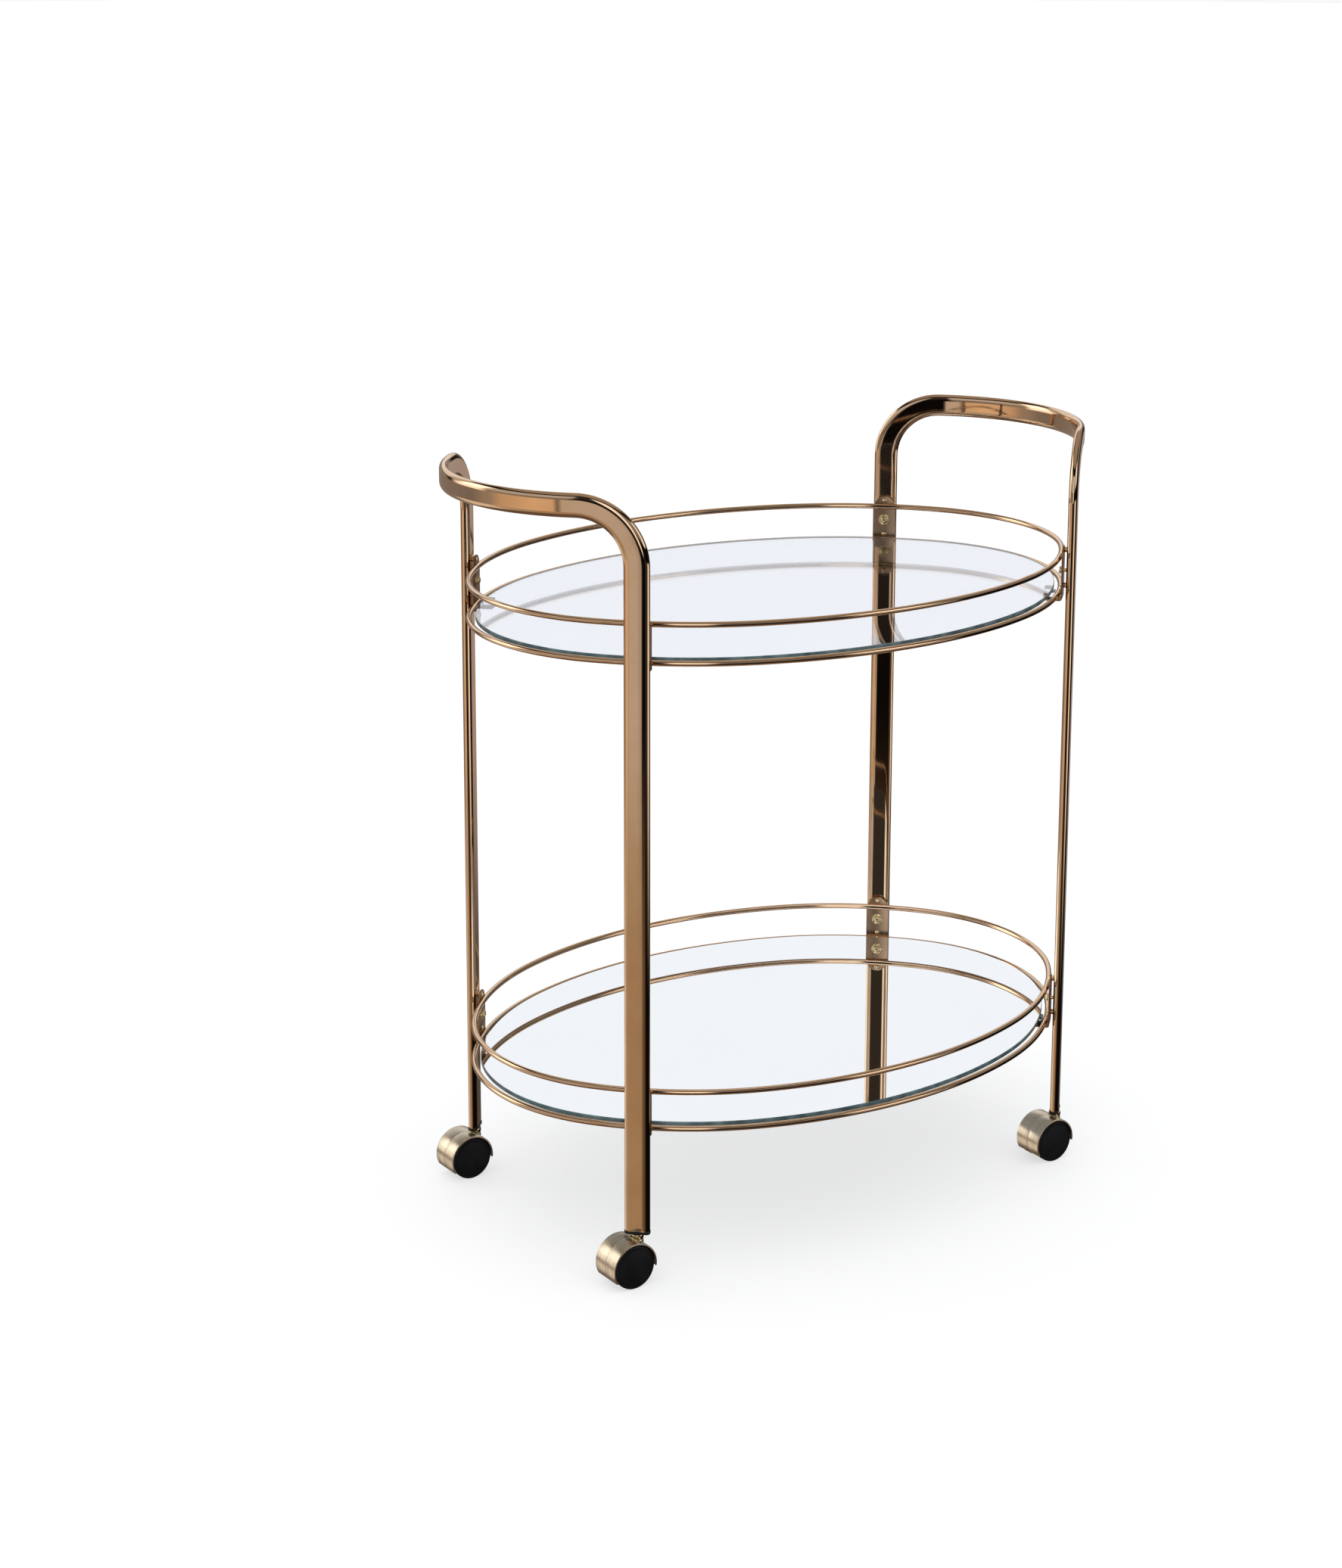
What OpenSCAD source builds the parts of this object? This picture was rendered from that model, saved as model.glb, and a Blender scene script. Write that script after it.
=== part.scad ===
// Two-tier oval bar cart on four twin-wheel casters. Millimetres, Z up.
// The floor is z = 0, x runs along the cart, y across it, and the middle is at x = y = 0.

/* [Shelf rings] */
// radius of the tight arcs at the two ends
ring_end_radius = 195; // [150:5:240]
// radius of the four arcs at the legs
ring_mid_radius = 325; // [260:5:360]
// radius of the long arcs at the two sides
ring_side_radius = 480; // [400:5:600]
// thickness of the round rod
rod_d = 6.4; // [5:0.1:8]
// height of the bottom shelf ring
ring_z_bottom = 166; // [140:0.5:220]
// distance between the two tiers
tier_pitch = 500; // [420:1:560]
// gallery rail above its shelf ring
rail_rise = 40.4; // [30:0.1:60]

/* [End frames] */
// direction of the legs from the middle arcs' centres
leg_angle = 46.3; // [42:0.1:60]
// leg axis outside the ring's rod centre
leg_offset = 12.6; // [11:0.1:20]
// wide side of the flat tube
tube_w = 27; // [22:0.5:34]
// narrow side of the flat tube
tube_t = 10; // [8:0.5:14]
// corner radius of the tube section
tube_r = 4; // [2:0.1:4.5]
// wall of the tube
tube_wall = 1.2; // [0.8:0.1:2]
// bottom end of the tube
leg_end_z = 56; // [45:0.5:80]
// plug's lip below the tube
plug_lip = 3.2; // [2:0.1:4]
// centre of the handle's band
handle_z = 828; // [780:1:880]
// bend from leg to handle, on the tube's middle
handle_bend = 62; // [45:1:90]
// straight length after that bend
handle_straight = 0.5; // [0:0.5:40]

/* [Shelves] */
// thickness of glass and mirror
glass_t = 5; // [4:0.5:8]
// top of the glass above the ring's rod centre
glass_rise = 4.6; // [3:0.1:6]
// edge of the glass inside the rod centre
glass_inset = 6.8; // [5:0.1:10]
// polished edge
glass_chamfer = 0.6; // [0.3:0.1:1]

/* [Brackets] */
// width of a bracket plate
plate_w = 27; // [22:0.5:30]
// thickness of a bracket plate
plate_t = 1.5; // [1:0.1:2.5]
// inner face of the plate outside the rod centre
plate_seat = 2.6; // [2:0.1:3]
// plate below the ring
plate_drop = 9.5; // [8:0.1:12]
// radius of the round top of the plate
plate_top_r = 12.5; // [10:0.5:13.5]
// depth of the support lip under the glass
lip_depth = 17; // [12:0.5:24]
// width of the support lip
lip_w = 22; // [14:0.5:26]
// spacer stud above rail and ring
stud_rise = 6.6; // [6.4:0.1:8]
// diameter of stud head and spacer
stud_d = 6; // [5:0.1:7]
// diameter of screw shank
screw_d = 4; // [3:0.1:5]
// diameter of screw head
screw_head_d = 8.4; // [7:0.1:10]
// diameter of washer
washer_d = 13.4; // [10:0.1:15]
// screw below the rail
screw_drop = 16.7; // [14:0.1:20]

/* [Casters] */
// wheel diameter
wheel_d = 48; // [38:0.5:60]
// wheel width without its domed cover
wheel_w = 10.7; // [8:0.1:14]
// wheel axle behind the swivel axis
trail = 14; // [10:0.5:22]
// half width of the body between the wheels
core_half = 6.8; // [6:0.1:8]
// wheel away from that body
wheel_gap = 0.5; // [0.3:0.1:1]
// axle diameter
axle_d = 6; // [5:0.1:8]
// inner radius of the hood
hood_ri = 25.3; // [24.6:0.1:32]
// hood thickness
hood_t = 1.2; // [1:0.1:2]
// swivel pin diameter
pin_d = 8; // [6:0.1:10]
// neck diameter
neck_d = 13; // [10:0.1:14]

/* [Node] */
// which node to draw

/* [Hidden] */
$fn = 96;
eps = 0.01;

// oval: arcs of three radii, tangent to each other. They meet on two lines whose
// cosine and sine are short decimals, so the end faces of neighbouring arcs are the same.
cs_1 = [0.8, 0.6];
cs_2 = [0.352, 0.936];
angle_1 = atan2(cs_1[1], cs_1[0]);
angle_2 = atan2(cs_2[1], cs_2[0]);
r1 = ring_end_radius;
r2 = ring_mid_radius;
r3 = ring_side_radius;
c1x = (r2 - r1) * cs_1[0] + (r3 - r2) * cs_2[0];
c2x = (r3 - r2) * cs_2[0];
c2y = -(r2 - r1) * cs_1[1];
c3y = c2y - (r3 - r2) * cs_2[1];
ring_half_length = c1x + r1;
ring_half_width = c3y + r3;

// arcs of the oval: centre x, centre y, radius, first and last angle
arcs = [
    [c1x, 0, r1, -angle_1, angle_1],
    [c2x, c2y, r2, angle_1, angle_2],
    [0, c3y, r3, angle_2, 180 - angle_2],
    [-c2x, c2y, r2, 180 - angle_2, 180 - angle_1],
    [-c1x, 0, r1, 180 - angle_1, 180 + angle_1],
    [-c2x, -c2y, r2, 180 + angle_1, 180 + angle_2],
    [0, -c3y, r3, 180 + angle_2, 360 - angle_2],
    [c2x, -c2y, r2, 360 - angle_2, 360 - angle_1]
];

ring_z = [ring_z_bottom, ring_z_bottom + tier_pitch];

// legs: side in x, side in y, direction of the normal there
legs = [
    [-1, -1, 180 + leg_angle],
    [-1, 1, 180 - leg_angle],
    [1, 1, leg_angle],
    [1, -1, -leg_angle]
];
leg_x = c2x + (r2 + leg_offset) * cos(leg_angle);
leg_y = c2y + (r2 + leg_offset) * sin(leg_angle);

plate_out = plate_seat + plate_t;
leg_face = leg_offset - tube_t / 2;

// handle bow in plan: it starts where the bend ends, and its centre is on y = 0
bow_r = floor(100 * (leg_y / sin(leg_angle)
        - (handle_bend + handle_straight) / tan(leg_angle))) / 100;

axle_z = wheel_d / 2;
hood_ro = hood_ri + hood_t;
wheel_in = core_half + wheel_gap;
hood_half = wheel_in + wheel_w + 0.2;
neck_bottom = 41;

champagne = [0.72, 0.53, 0.36];
black = [0.06, 0.06, 0.065];
brass = [0.78, 0.64, 0.34];

// ---- shared shapes ----

module round_rect(w, t, r) {
    square([w - 2 * r, t], center = true);
    square([w, t - 2 * r], center = true);
    for (x = [-1, 1], y = [-1, 1])
        translate([x * (w / 2 - r), y * (t / 2 - r)]) circle(r = r);
}

// tube section with its wide side along x
module tube_section() {
    difference() {
        round_rect(tube_w, tube_t, tube_r);
        round_rect(tube_w - 2 * tube_wall, tube_t - 2 * tube_wall, tube_r - tube_wall);
    }
}

// sweeps its children, a section on the rod's centre, along the whole oval
module sweep_oval() {
    for (q = arcs) translate([q[0], q[1], 0]) intersection() {
        rotate_extrude() translate([q[2], 0]) children();
        rotate([0, 0, q[3]]) translate([0, 0, -30]) cube([2 * r3, 2 * r3, 60]);
        rotate([0, 0, q[4]]) mirror([0, 1, 0]) translate([0, 0, -30]) cube([2 * r3, 2 * r3, 60]);
    }
}

module oval_rod(d) {
    sweep_oval() circle(d = d);
}

// a sheet inside the oval, with chamfered edges
module oval_sheet(inset, t, ch) {
    sweep_oval() translate([-inset, 0])
        polygon([[-60, 0], [-ch, 0], [0, ch], [0, t - ch], [-ch, t], [-60, t]]);
    linear_extrude(t)
        polygon([for (q = arcs) [
            q[0] + (q[2] - inset - 15) * cos(q[3]),
            q[1] + (q[2] - inset - 15) * sin(q[3])]]);
}

// puts its children on the rod's centre at leg k: x outwards, y along the rod
module at_leg(k) {
    s = legs[k];
    translate([s[0] * (c2x + r2 * cos(leg_angle)), s[1] * (c2y + r2 * sin(leg_angle)), 0])
        rotate([0, 0, s[2]]) children();
}

// ---- end frames ----

// straight leg, in the frame of at_leg
module leg_tube() {
    difference() {
        translate([leg_offset, 0, leg_end_z]) rotate([0, 0, 90])
            linear_extrude(handle_z - handle_bend - leg_end_z) tube_section();
        for (z = ring_z)
            translate([leg_face - 1, 0, z + rail_rise - screw_drop]) rotate([0, 90, 0])
                cylinder(d = screw_d + 0.2, h = tube_wall + 2);
    }
}

// the half of an end frame at y > 0: leg, bend, short straight and half of the handle's bow
module half_frame() {
    at_leg(2) {
        leg_tube();
        translate([leg_offset, -handle_bend, handle_z - handle_bend])
            rotate([90, 0, 90]) rotate_extrude(angle = 90)
                translate([handle_bend, 0]) tube_section();
        translate([leg_offset, -handle_bend, handle_z]) rotate([90, 0, 0])
            linear_extrude(handle_straight) rotate([0, 0, 90]) tube_section();
    }
    intersection() {
        at_leg(2) translate([leg_offset - bow_r, -handle_bend - handle_straight, handle_z])
            mirror([0, 1, 0]) rotate_extrude(angle = leg_angle + 4)
                translate([bow_r, 0]) rotate([0, 0, 90]) tube_section();
        translate([0, 0, handle_z - 100]) cube([600, 300, 200]);
    }
}

module frame_right() {
    color(champagne) {
        half_frame();
        mirror([0, 1, 0]) half_frame();
    }
}
module frame_left() { mirror([1, 0, 0]) frame_right(); }

module plug(k) {
    color(black) at_leg(k) translate([leg_offset, 0, leg_end_z]) rotate([0, 0, 90])
        difference() {
            union() {
                translate([0, 0, -plug_lip])
                    linear_extrude(plug_lip) round_rect(tube_w + 0.6, tube_t + 0.6, tube_r + 0.3);
                linear_extrude(22)
                    round_rect(tube_w - 2 * tube_wall - 0.2, tube_t - 2 * tube_wall - 0.2,
                               tube_r - tube_wall - 0.1);
            }
            translate([0, 0, -plug_lip - 1]) cylinder(d = 6, h = plug_lip + 21);
        }
}
module plug_front_left() { plug(0); }
module plug_back_left() { plug(1); }
module plug_back_right() { plug(2); }
module plug_front_right() { plug(3); }

// ---- rings, shelves and brackets ----

module rod_at(z) { color(champagne) translate([0, 0, z]) oval_rod(rod_d); }
module shelf_ring_bottom() { rod_at(ring_z[0]); }
module gallery_rail_bottom() { rod_at(ring_z[0] + rail_rise); }
module shelf_ring_top() { rod_at(ring_z[1]); }
module gallery_rail_top() { rod_at(ring_z[1] + rail_rise); }

module sheet_at(z) {
    translate([0, 0, z + glass_rise - glass_t]) oval_sheet(glass_inset, glass_t, glass_chamfer);
}
module shelf_mirror_bottom() { color([0.8, 0.86, 0.88]) sheet_at(ring_z[0]); }
module shelf_glass_top() { color([0.8, 0.92, 0.9, 0.4]) sheet_at(ring_z[1]); }

// upright plate with a half-round top, seats for both rods and a support lip
module plate(k, z) {
    lip_top = z - plate_drop + plate_t;
    color(champagne) difference() {
        at_leg(k) difference() {
            union() {
                translate([plate_seat, 0, 0]) rotate([90, 0, 90]) linear_extrude(plate_t) {
                    translate([-plate_w / 2, z - plate_drop])
                        square([plate_w, rail_rise + plate_drop - 1]);
                    translate([0, z + rail_rise - 1]) circle(r = plate_top_r);
                }
                translate([-lip_depth, -lip_w / 2, z - plate_drop])
                    cube([lip_depth + plate_out, lip_w, plate_t]);
            }
            for (h = [stud_rise, rail_rise + stud_rise])
                translate([plate_seat - 1, 0, z + h]) rotate([0, 90, 0])
                    cylinder(d = 4, h = plate_t + 2);
            translate([plate_seat - 1, 0, z + rail_rise - screw_drop]) rotate([0, 90, 0])
                cylinder(d = screw_d + 0.2, h = plate_t + 2);
        }
        for (h = [0, rail_rise])
            translate([legs[k][0] * c2x, legs[k][1] * c2y, z + h])
                rotate([0, 0, legs[k][2] - 8]) rotate_extrude(angle = 16)
                    translate([r2, 0]) circle(d = rod_d);
    }
}
module bracket_bottom_front_left() { plate(0, ring_z[0]); }
module bracket_bottom_back_left() { plate(1, ring_z[0]); }
module bracket_bottom_back_right() { plate(2, ring_z[0]); }
module bracket_bottom_front_right() { plate(3, ring_z[0]); }
module bracket_top_front_left() { plate(0, ring_z[1]); }
module bracket_top_back_left() { plate(1, ring_z[1]); }
module bracket_top_back_right() { plate(2, ring_z[1]); }
module bracket_top_front_right() { plate(3, ring_z[1]); }

// stud: domed head inside, pin through the plate, spacer to the leg
module stud() {
    rotate([0, 90, 0]) {
        translate([0, 0, plate_seat]) cylinder(d = 4, h = plate_t);
        translate([0, 0, plate_out]) cylinder(d = stud_d, h = leg_face - plate_out);
        intersection() {
            translate([0, 0, plate_seat + 1]) sphere(r = 3.16);
            translate([0, 0, plate_seat - 3]) cylinder(d = stud_d, h = 3);
        }
    }
}
module studs(z) {
    color(champagne) for (k = [0:3], h = [stud_rise, rail_rise + stud_rise])
        at_leg(k) translate([0, 0, z + h]) stud();
}
module spacer_studs_bottom() { studs(ring_z[0]); }
module spacer_studs_top() { studs(ring_z[1]); }

module screws(z) {
    color(brass) for (k = [0:3]) at_leg(k)
        translate([plate_seat - 1, 0, z + rail_rise - screw_drop]) rotate([0, 90, 0])
            difference() {
                union() {
                    cylinder(d = screw_d, h = 13);
                    intersection() {
                        translate([0, 0, 1.6]) sphere(r = 4.5);
                        translate([0, 0, -3]) cylinder(d = screw_head_d, h = 3);
                    }
                }
                translate([0, 0, -4]) cylinder(d = 4.2, h = 2.6, $fn = 6);
            }
}
module screws_bottom() { screws(ring_z[0]); }
module screws_top() { screws(ring_z[1]); }

module washers(z) {
    color(brass) for (k = [0:3]) at_leg(k)
        translate([plate_seat - 1, 0, z + rail_rise - screw_drop]) rotate([0, 90, 0])
            difference() {
                cylinder(d = washer_d, h = 1);
                translate([0, 0, -1]) cylinder(d = screw_d + 0.2, h = 3);
            }
}
module washers_bottom() { washers(ring_z[0]); }
module washers_top() { washers(ring_z[1]); }

// clear pads on the lips, up to the underside of the sheet
module pads(z) {
    color([0.9, 0.92, 0.95, 0.5]) for (k = [0:3]) at_leg(k)
        translate([-10.2, 0, z - plate_drop + plate_t]) rotate([0, 0, 90])
            linear_extrude(glass_rise - glass_t + plate_drop - plate_t) round_rect(18, 12, 2);
}
module clear_pads_bottom() { pads(ring_z[0]); }
module clear_pads_top() { pads(ring_z[1]); }

// ---- casters: the origin is under the swivel axis, the axle is behind it in x ----

module at_caster(k) {
    translate([legs[k][0] * leg_x, legs[k][1] * leg_y, 0]) children();
}

module stem(k) {
    color(brass) at_caster(k) {
        translate([0, 0, leg_end_z - plug_lip]) cylinder(d = 6, h = 20);
        translate([0, 0, 48.5]) cylinder(d = 13.4, h = leg_end_z - plug_lip - 48.5);
        translate([0, 0, neck_bottom]) cylinder(d = neck_d, h = 48.5 - neck_bottom);
        translate([0, 0, 29]) cylinder(d = pin_d, h = neck_bottom - 29);
    }
}

// shell over the top and back of the wheels, with turned-in end rims and a centre groove
module hood(k) {
    color([0.72, 0.66, 0.52]) at_caster(k) difference() {
        translate([-trail, 0, axle_z]) rotate([90, 0, 0]) rotate([0, 0, -8])
            rotate_extrude(angle = 217) difference() {
                translate([0, -hood_half]) square([hood_ro, 2 * hood_half]);
                translate([-1, -hood_half - 1]) square([hood_ri - 0.6 + 1, 2 * hood_half + 2]);
                translate([0, -hood_half + 0.9]) square([hood_ri, 2 * hood_half - 1.8]);
                translate([hood_ro - 0.3, -0.4]) square([1, 0.8]);
            }
        translate([0, 0, 20]) cylinder(d = neck_d + 2, h = 40);
    }
}

// body between the wheels: rim under the hood, web, hub for the axle and boss for the pin
module core(k) {
    color(black) at_caster(k) difference() {
        union() {
            translate([-trail, 0, axle_z]) rotate([90, 0, 0]) {
                rotate([0, 0, -6]) rotate_extrude(angle = 213)
                    translate([hood_ri - 4, -core_half]) square([4, 2 * core_half]);
                rotate([0, 0, -6]) rotate_extrude(angle = 213)
                    translate([0, -2.5]) square([hood_ri - 2, 5]);
                cylinder(r = 8, h = 2 * core_half, center = true);
            }
            translate([0, 0, 21.5]) cylinder(r = core_half, h = neck_bottom - 0.3 - 21.5);
        }
        translate([0, 0, neck_bottom - 0.3]) cylinder(d = neck_d + 2, h = 20);
        translate([0, 0, 28]) cylinder(d = pin_d + 0.1, h = 20);
        translate([-trail, 0, axle_z]) rotate([90, 0, 0])
            cylinder(d = axle_d, h = 3 * core_half, center = true);
    }
}

module axle(k) {
    color([0.7, 0.7, 0.7]) at_caster(k) translate([-trail, 0, axle_z]) rotate([90, 0, 0])
        cylinder(d = axle_d, h = 2 * (wheel_in + 8), center = true);
}

// wheel section: x is the radius, y runs outwards from the inner face
module wheel_section() {
    r = wheel_d / 2;
    difference() {
        union() {
            square([r - 2.5, wheel_w]);
            translate([0, 2.5]) square([r, wheel_w - 5]);
            for (y = [2.5, wheel_w - 2.5]) translate([r - 2.5, y]) circle(r = 2.5);
            intersection() {
                translate([0, wheel_w + 1.2 - 160]) circle(r = 160);
                translate([0, wheel_w - 2]) square([r - 3.8, 5]);
            }
        }
        translate([-1, -1]) square([axle_d / 2 + 0.05 + 1, 9.5]);
        translate([8, -1]) square([11.5, 5.5]);
        translate([r - 3.8, wheel_w - 0.6]) square([0.5, 2]);
        translate([-50, -50]) square([50, 100]);
    }
}
module wheel(k, side) {
    color(black) at_caster(k) translate([-trail, side * wheel_in, axle_z])
        rotate([side * -90, 0, 0]) rotate_extrude() wheel_section();
}

module stem_front_left() { stem(0); }
module stem_back_left() { stem(1); }
module stem_back_right() { stem(2); }
module stem_front_right() { stem(3); }
module hood_front_left() { hood(0); }
module hood_back_left() { hood(1); }
module hood_back_right() { hood(2); }
module hood_front_right() { hood(3); }
module core_front_left() { core(0); }
module core_back_left() { core(1); }
module core_back_right() { core(2); }
module core_front_right() { core(3); }
module axle_front_left() { axle(0); }
module axle_back_left() { axle(1); }
module axle_back_right() { axle(2); }
module axle_front_right() { axle(3); }
module wheel_front_left_a() { wheel(0, -1); }
module wheel_front_left_b() { wheel(0, 1); }
module wheel_back_left_a() { wheel(1, -1); }
module wheel_back_left_b() { wheel(1, 1); }
module wheel_back_right_a() { wheel(2, -1); }
module wheel_back_right_b() { wheel(2, 1); }
module wheel_front_right_a() { wheel(3, -1); }
module wheel_front_right_b() { wheel(3, 1); }

frame_left();
frame_right();
plug_front_left();
plug_back_left();
plug_back_right();
plug_front_right();
shelf_ring_bottom();
gallery_rail_bottom();
shelf_ring_top();
gallery_rail_top();
shelf_mirror_bottom();
shelf_glass_top();
bracket_bottom_front_left();
bracket_bottom_back_left();
bracket_bottom_back_right();
bracket_bottom_front_right();
bracket_top_front_left();
bracket_top_back_left();
bracket_top_back_right();
bracket_top_front_right();
spacer_studs_bottom();
spacer_studs_top();
screws_bottom();
screws_top();
washers_bottom();
washers_top();
clear_pads_bottom();
clear_pads_top();
stem_front_left();
stem_back_left();
stem_back_right();
stem_front_right();
hood_front_left();
hood_back_left();
hood_back_right();
hood_front_right();
core_front_left();
core_back_left();
core_back_right();
core_front_right();
axle_front_left();
axle_back_left();
axle_back_right();
axle_front_right();
wheel_front_left_a();
wheel_front_left_b();
wheel_back_left_a();
wheel_back_left_b();
wheel_back_right_a();
wheel_back_right_b();
wheel_front_right_a();
wheel_front_right_b();
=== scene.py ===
# Two-tier oval bar cart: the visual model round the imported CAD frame, in metres.
import math

import bmesh
import bpy
from mathutils import Matrix, Vector


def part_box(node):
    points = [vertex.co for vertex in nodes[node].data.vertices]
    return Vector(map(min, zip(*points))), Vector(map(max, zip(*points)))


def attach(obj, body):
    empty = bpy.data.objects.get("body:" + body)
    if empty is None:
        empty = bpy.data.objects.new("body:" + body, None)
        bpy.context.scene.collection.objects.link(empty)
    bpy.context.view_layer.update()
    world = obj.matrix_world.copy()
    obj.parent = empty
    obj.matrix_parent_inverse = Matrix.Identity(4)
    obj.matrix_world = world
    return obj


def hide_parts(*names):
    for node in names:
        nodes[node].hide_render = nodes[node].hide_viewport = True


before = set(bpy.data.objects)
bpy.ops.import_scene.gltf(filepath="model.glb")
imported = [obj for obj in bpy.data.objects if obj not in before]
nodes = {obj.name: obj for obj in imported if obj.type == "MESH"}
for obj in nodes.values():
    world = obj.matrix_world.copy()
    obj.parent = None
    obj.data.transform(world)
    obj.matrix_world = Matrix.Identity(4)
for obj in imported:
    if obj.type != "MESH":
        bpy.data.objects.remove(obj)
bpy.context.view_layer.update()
scene = bpy.context.scene
MM = 0.001
POSITIONS = ("front_left", "back_left", "back_right", "front_right")

# ---------------------------------------------------------------- camera
# fitted to points on the rings, legs and casters of the photograph
CAMERA_AT = (-1.9317, -2.6398, 1.4543)
YAW, PITCH, ROLL = 0.59796, 0.22126, -0.00159  # radians: from +y towards +x, downwards, about the view
LENS_MM, SHIFT_Y = 70.35, -0.15

cam_data = bpy.data.cameras.new("camera")
cam_data.sensor_fit = "AUTO"
cam_data.sensor_width = 36.0
cam_data.lens = LENS_MM
cam_data.shift_y = SHIFT_Y
cam_data.clip_end = 200.0
cam = bpy.data.objects.new("camera", cam_data)
scene.collection.objects.link(cam)
fwd = Vector((math.sin(YAW) * math.cos(PITCH), math.cos(YAW) * math.cos(PITCH), -math.sin(PITCH)))
side = Vector((math.cos(YAW), -math.sin(YAW), 0))
down = fwd.cross(side)
right = math.cos(ROLL) * side + math.sin(ROLL) * down
low = -math.sin(ROLL) * side + math.cos(ROLL) * down
cam.matrix_world = Matrix.Translation(CAMERA_AT) @ Matrix(
    (
        (right.x, -low.x, -fwd.x),
        (right.y, -low.y, -fwd.y),
        (right.z, -low.z, -fwd.z),
    )
).to_4x4()
scene.camera = cam
scene.view_settings.view_transform = "Standard"

# ---------------------------------------------------------------- floor, lights and surroundings
def soft_step(nt, value, lo, hi):
    """0 where value is lo, 1 where it is hi, whichever is larger."""
    n = nt.nodes.new("ShaderNodeMapRange")
    n.interpolation_type = "SMOOTHSTEP"
    nt.links.new(value, n.inputs["Value"])
    n.inputs["From Min"].default_value = min(lo, hi)
    n.inputs["From Max"].default_value = max(lo, hi)
    n.inputs["To Min"].default_value = 0.0 if lo < hi else 1.0
    n.inputs["To Max"].default_value = 1.0 if lo < hi else 0.0
    return n.outputs["Result"]


def maths(nt, kind, a, b=None):
    """A math node on sockets or numbers."""
    n = nt.nodes.new("ShaderNodeMath")
    n.operation = kind
    for k, v in enumerate((a, b)):
        if v is None:
            continue
        if isinstance(v, (int, float)):
            n.inputs[k].default_value = v
        else:
            nt.links.new(v, n.inputs[k])
    return n.outputs[0]


def mix(nt, factor, a, b):
    """Colour a where factor is 0, b where it is 1. Each may be a socket or a value."""
    n = nt.nodes.new("ShaderNodeMix")
    n.data_type = "RGBA"
    n.clamp_factor = True
    sockets = [s for s in n.inputs if s.type == "RGBA"]
    for s, v in ((n.inputs[0], factor), (sockets[0], a), (sockets[1], b)):
        if isinstance(v, (int, float)):
            s.default_value = v
        elif isinstance(v, tuple):
            s.default_value = (*v, 1.0)
        else:
            nt.links.new(v, s)
    return [s for s in n.outputs if s.type == "RGBA"][0]


def ramp(nt, value, stops):
    """Colours eased between stops of (position, colour)."""
    n = nt.nodes.new("ShaderNodeValToRGB")
    n.color_ramp.interpolation = "EASE"
    els = n.color_ramp.elements
    while len(els) > 1:
        els.remove(els[-1])
    for k, (at, colour) in enumerate(stops):
        e = els[0] if k == 0 else els.new(at)
        e.position = at
        e.color = (*colour, 1.0)
    nt.links.new(value, n.inputs[0])
    return n.outputs[0]


# The surroundings are rings of broad light and dark zones, like soft boxes and black cards, that the
# plated metal mirrors. Each stop is (azimuth in degrees from +x towards +y, level or colour).
WALLS_LOW = (  # what the upper parts of upright faces mirror, just under the horizon
    (0, 0.004), (14, 0.02), (25, (0.44, 0.40, 0.40)), (50, (0.38, 0.35, 0.34)), (80, (0.27, 0.24, 0.22)),
    (130, (0.25, 0.22, 0.20)), (148, (0.38, 0.33, 0.27)), (164, (0.72, 0.52, 0.34)),
    (188, (0.88, 0.64, 0.42)), (200, (0.80, 0.58, 0.38)), (203.5, (0.24, 0.20, 0.17)),
    (207, (0.62, 0.56, 0.47)), (216.5, (0.62, 0.56, 0.50)), (218.5, 0.004), (246, 0.006), (257, 0.05),
    (271, 0.05), (285, 0.03), (291, (1.2, 1.1, 0.98)), (318, (1.2, 1.1, 0.98)), (324, 0.004), (360, 0.004),
)  # fmt: skip
WALLS_MID = (  # round the horizon: dark between the lamps
    (0, 0.008), (30, 0.02), (42, 0.30), (92, 0.30), (104, 0.03), (120, (1.5, 1.4, 1.3)),
    (140, (1.5, 1.4, 1.25)), (150, (0.34, 0.30, 0.26)), (208, (0.26, 0.23, 0.21)), (217, 0.005),
    (226, 0.005), (231, (1.4, 1.36, 1.3)), (240, (1.4, 1.36, 1.3)), (247, 0.005), (320, 0.005), (360, 0.008),
)  # fmt: skip
WALLS_HIGH = (  # paler walls, which the shelves and the hoods mirror
    (0, (0.26, 0.25, 0.24)), (26, (0.30, 0.29, 0.28)), (38, (0.94, 0.955, 0.985)),
    (94, (0.94, 0.955, 0.985)), (104, (0.52, 0.49, 0.46)), (114, (0.60, 0.56, 0.50)),
    (122, (2.5, 2.4, 2.2)), (138, (2.5, 2.36, 2.1)), (148, (0.56, 0.54, 0.51)), (200, (0.60, 0.59, 0.58)),
    (212, (0.60, 0.59, 0.58)), (216, 0.04), (224, 0.04), (229, (1.4, 1.37, 1.33)),
    (240, (1.4, 1.37, 1.33)), (249, (0.30, 0.29, 0.28)), (286, (0.30, 0.29, 0.28)),
    (293, (1.6, 1.54, 1.45)), (311, (1.6, 1.54, 1.45)), (319, (0.26, 0.25, 0.24)), (360, (0.26, 0.25, 0.24)),
)  # fmt: skip
LOW_BAND = (  # what the lower parts of upright faces mirror
    (0, 0.006), (30, 0.10), (60, 0.30), (100, 0.26), (115, (0.90, 0.80, 0.68)), (140, (0.90, 0.80, 0.68)),
    (165, (0.50, 0.42, 0.33)), (200, (0.46, 0.34, 0.22)), (217, (0.46, 0.34, 0.22)),
    (220, (0.17, 0.11, 0.07)), (238, (0.14, 0.09, 0.05)), (247, 0.02), (262, 0.006), (290, 0.004),
    (328, 0.004), (360, 0.006),
)  # fmt: skip
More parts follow.
